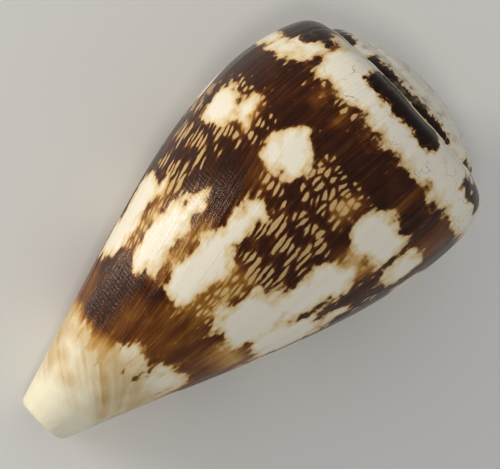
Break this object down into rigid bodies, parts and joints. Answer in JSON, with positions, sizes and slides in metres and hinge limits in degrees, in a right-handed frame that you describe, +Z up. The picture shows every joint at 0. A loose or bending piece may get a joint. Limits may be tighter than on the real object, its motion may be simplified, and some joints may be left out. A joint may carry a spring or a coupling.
{
  "type": "cone shell",
  "caption": "Cone-shaped sea-snail shell with a low stepped spire, rounded shoulder and long narrow aperture, white with golden and dark brown marbling; lies on its aperture side.",
  "frame": {"origin": "middle of the bounding box, on the surface that the shell lies on", "axes": "+X along the shell from the anterior tip towards the spire, +Y towards the outer lip, +Z up"},
  "size_m": [0.0646, 0.0358, 0.0337],
  "materials": {
    "shell": "polished"
  },
  "bodies": {
    "root": {"shell": "shell"}
  },
  "joints": []
}
